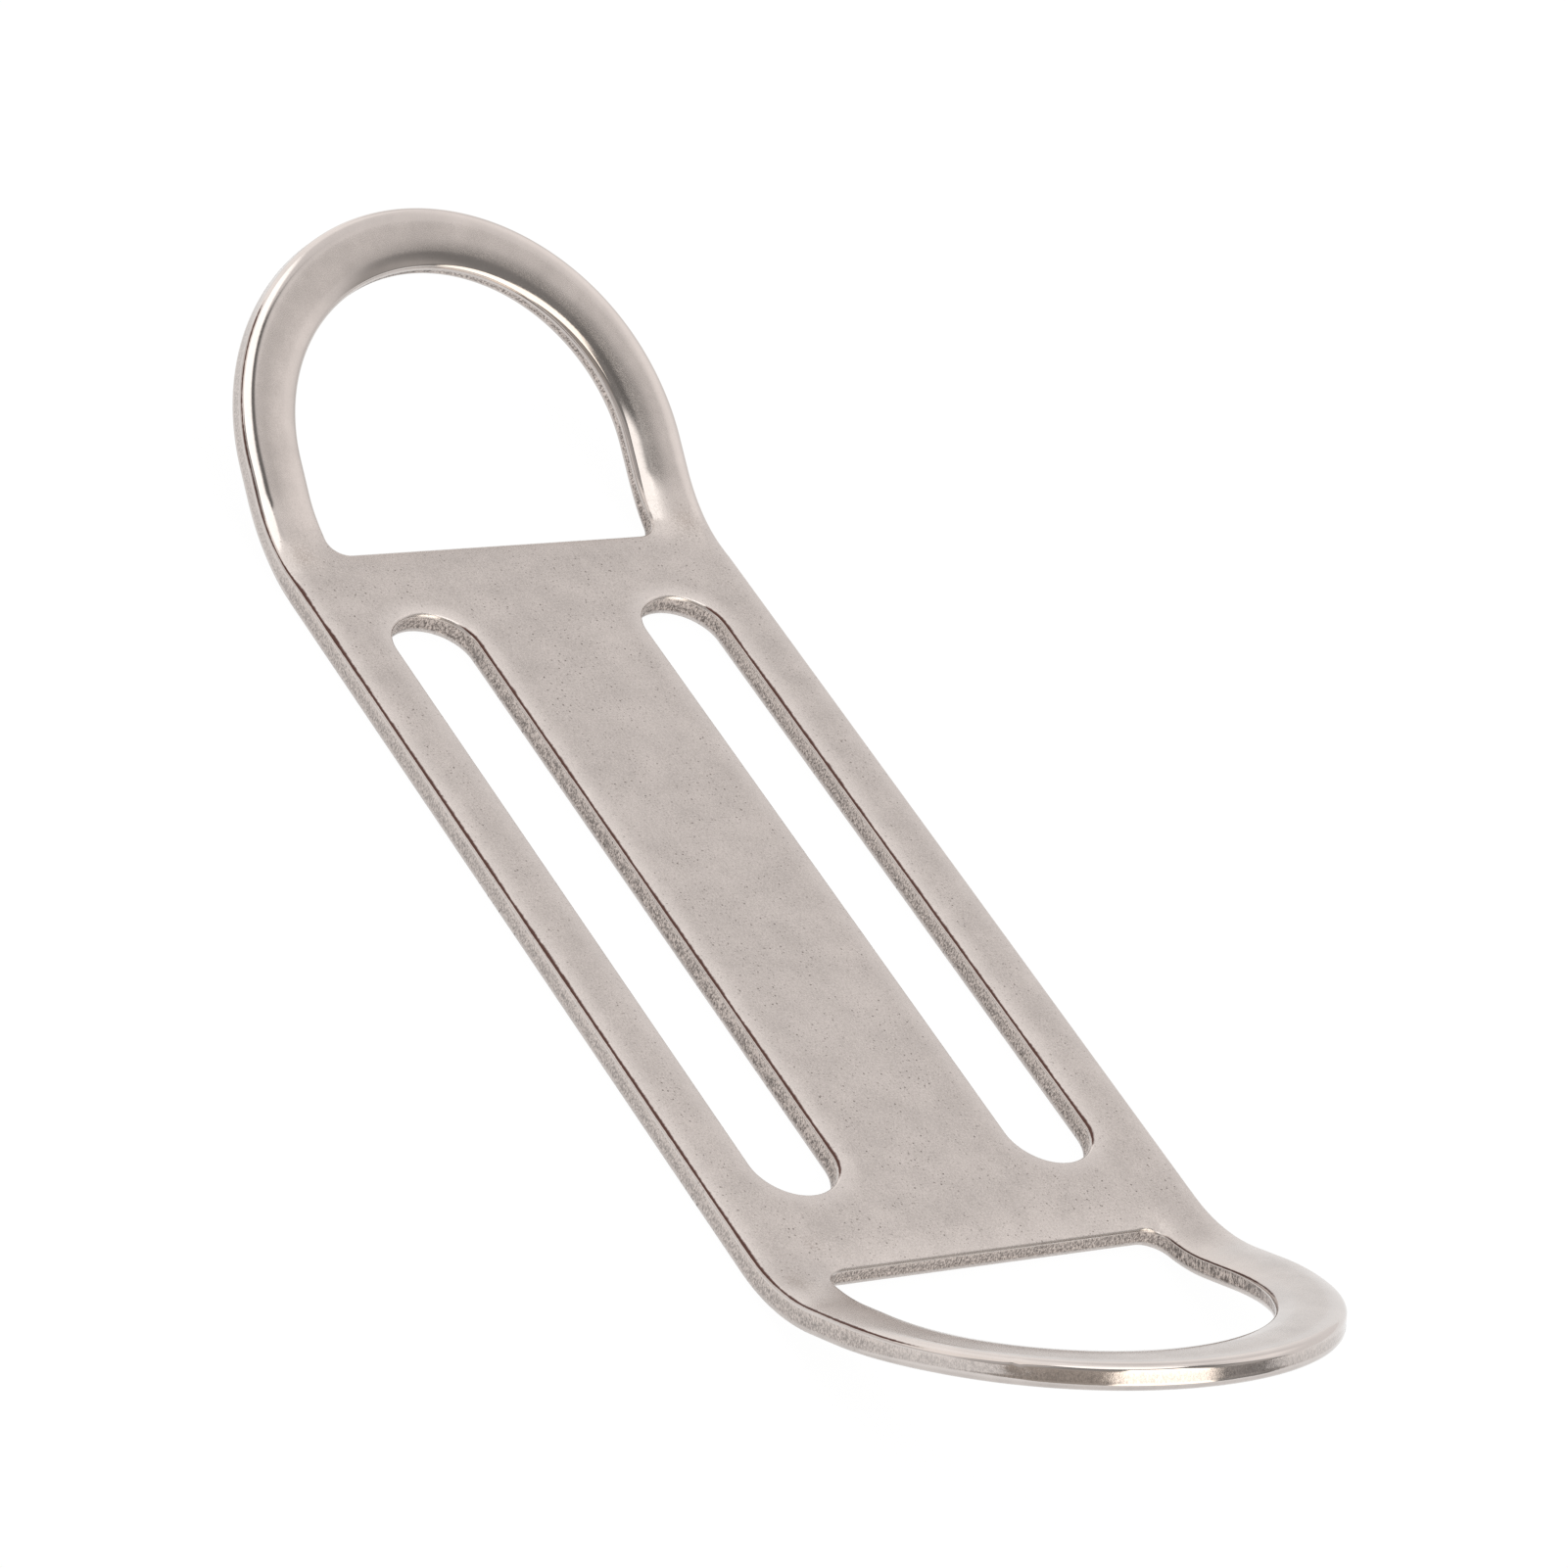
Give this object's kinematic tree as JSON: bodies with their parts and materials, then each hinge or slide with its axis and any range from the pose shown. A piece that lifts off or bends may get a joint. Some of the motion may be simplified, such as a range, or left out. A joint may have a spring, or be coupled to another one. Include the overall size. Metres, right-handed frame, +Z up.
{
  "type": "double-ended D-ring webbing slide",
  "caption": "Flat stainless steel slide for 50 mm webbing, with long slots side by side and a D-shaped ring bent up at each end.",
  "frame": {"origin": "on the underside of the flat plate, midway between the slots and midway between the rings", "axes": "+X along the plate towards one ring, +Y across the slots, +Z up off the underside, the way both rings are bent"},
  "size_m": [0.1062, 0.033, 0.0126],
  "materials": {
    "tumbled_steel": "tumbled satin stainless steel, finely pitted, with rough punched walls and bright rounded edges"
  },
  "bodies": {
    "root": {"ring_slide": "tumbled_steel"}
  },
  "joints": []
}
